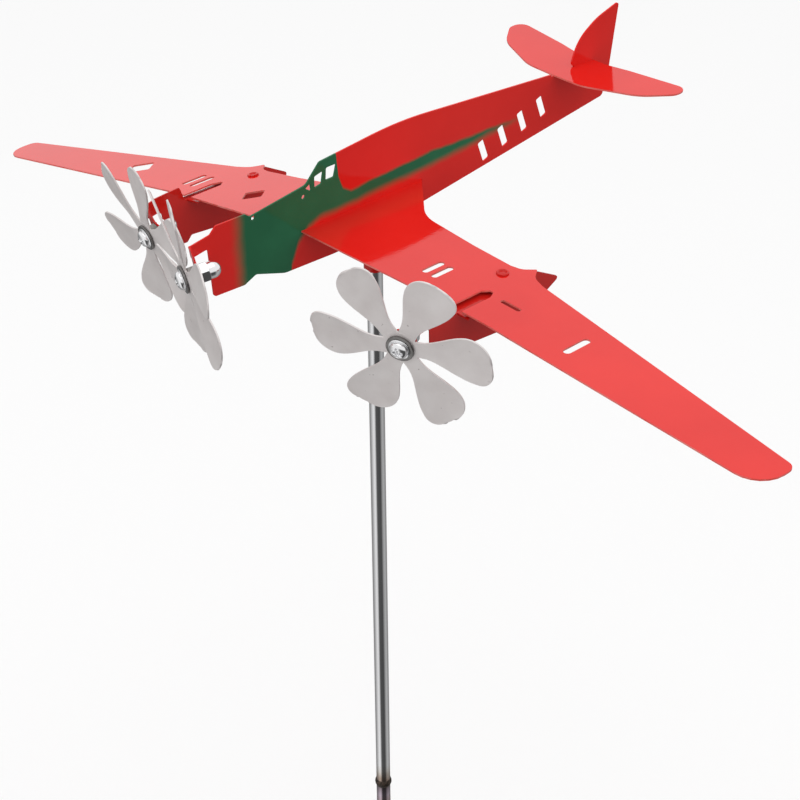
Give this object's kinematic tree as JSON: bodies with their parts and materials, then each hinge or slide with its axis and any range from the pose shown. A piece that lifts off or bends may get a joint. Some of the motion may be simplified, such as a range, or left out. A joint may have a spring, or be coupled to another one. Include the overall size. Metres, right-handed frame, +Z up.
{
  "type": "aeroplane whirligig",
  "caption": "Sheet-metal aeroplane whirligig that turns into the wind on a garden mast and carries freely spinning propellers on its nose and wings",
  "frame": {"origin": "on the mast's axis at ground level, on the cylindrical shank of the ground spike", "axes": "+Z up along the mast, +X towards the aeroplane's nose at rest, +Y towards its port wing"},
  "size_m": [0.3534, 0.633, 0.7124],
  "materials": {
    "fuselage_paint": "gloss",
    "wing_paint": "gloss",
    "nacelle_paint": "gloss",
    "blade_metal": "satin",
    "screw_chrome": "polished",
    "washer_steel": "satin",
    "nut_steel": "dark",
    "mast_steel": "polished",
    "weld_steel": "rough",
    "spike_steel": "satin"
  },
  "bodies": {
    "mast": {"mast_tube": "mast_steel", "mast_plug": "nut_steel", "bearing_ball": "screw_chrome", "weld_bead": "weld_steel", "ground_spike": "spike_steel"},
    "airframe": {"fuselage_plate": "fuselage_paint", "wing": "wing_paint", "tailplane": "wing_paint", "nacelle_port": "nacelle_paint", "nacelle_starboard": "nacelle_paint", "nacelle_rivets": "wing_paint", "axle_nose": "screw_chrome", "axle_port": "screw_chrome", "axle_starboard": "screw_chrome", "front_washers": "washer_steel", "back_washers": "washer_steel", "hex_nuts": "nut_steel", "acorn_nuts": "screw_chrome", "pivot_sleeve": "fuselage_paint"},
    "nose_propeller": {"propeller_nose": "blade_metal"},
    "port_propeller": {"propeller_port": "blade_metal"},
    "starboard_propeller": {"propeller_starboard": "blade_metal"}
  },
  "joints": [
    {"name": "weathervane_turn", "type": "hinge", "parent": "mast", "child": "airframe", "pos_m": [0, 0, 0.47], "axis": [0, 0, 1], "continuous": true},
    {"name": "nose_spin", "type": "hinge", "parent": "airframe", "child": "nose_propeller", "pos_m": [0.13477, 0.00372, 0.50397], "axis": [0.9281, -0.3378, -0.1564], "continuous": true},
    {"name": "port_spin", "type": "hinge", "parent": "airframe", "child": "port_propeller", "pos_m": [0.08216, 0.1126, 0.4891], "axis": [0.9092, 0.3837, -0.1618], "continuous": true},
    {"name": "starboard_spin", "type": "hinge", "parent": "airframe", "child": "starboard_propeller", "pos_m": [0.08101, -0.10786, 0.46386], "axis": [0.9781, -0.1016, -0.1818], "continuous": true}
  ]
}
